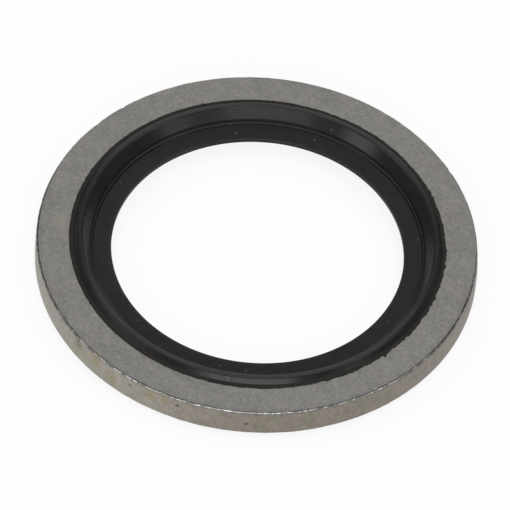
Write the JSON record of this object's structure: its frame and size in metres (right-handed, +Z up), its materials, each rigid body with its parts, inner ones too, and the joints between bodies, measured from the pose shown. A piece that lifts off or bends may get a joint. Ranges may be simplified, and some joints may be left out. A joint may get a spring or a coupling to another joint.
{
  "type": "sealing washer",
  "caption": "Flat round metal washer with a black rubber seal bonded into its bore: raised lips on both faces and a thin inner web that centres it on a thread.",
  "frame": {"origin": "on the washer's axis, level with the crest of the lower sealing lip, on which it rests", "axes": "+Z up along the washer's axis of turning, through its hole; X and Y lie across it and are interchangeable"},
  "size_m": [0.03, 0.03, 0.0028],
  "materials": {
    "plated_steel": "dull grey zinc plating over punched and tumbled steel, fine grained and matt",
    "black_rubber": "moulded nitrile rubber, satin, with a thin ragged flash where it meets the steel"
  },
  "bodies": {
    "root": {"steel_ring": "plated_steel", "rubber_seal": "black_rubber"}
  },
  "joints": []
}
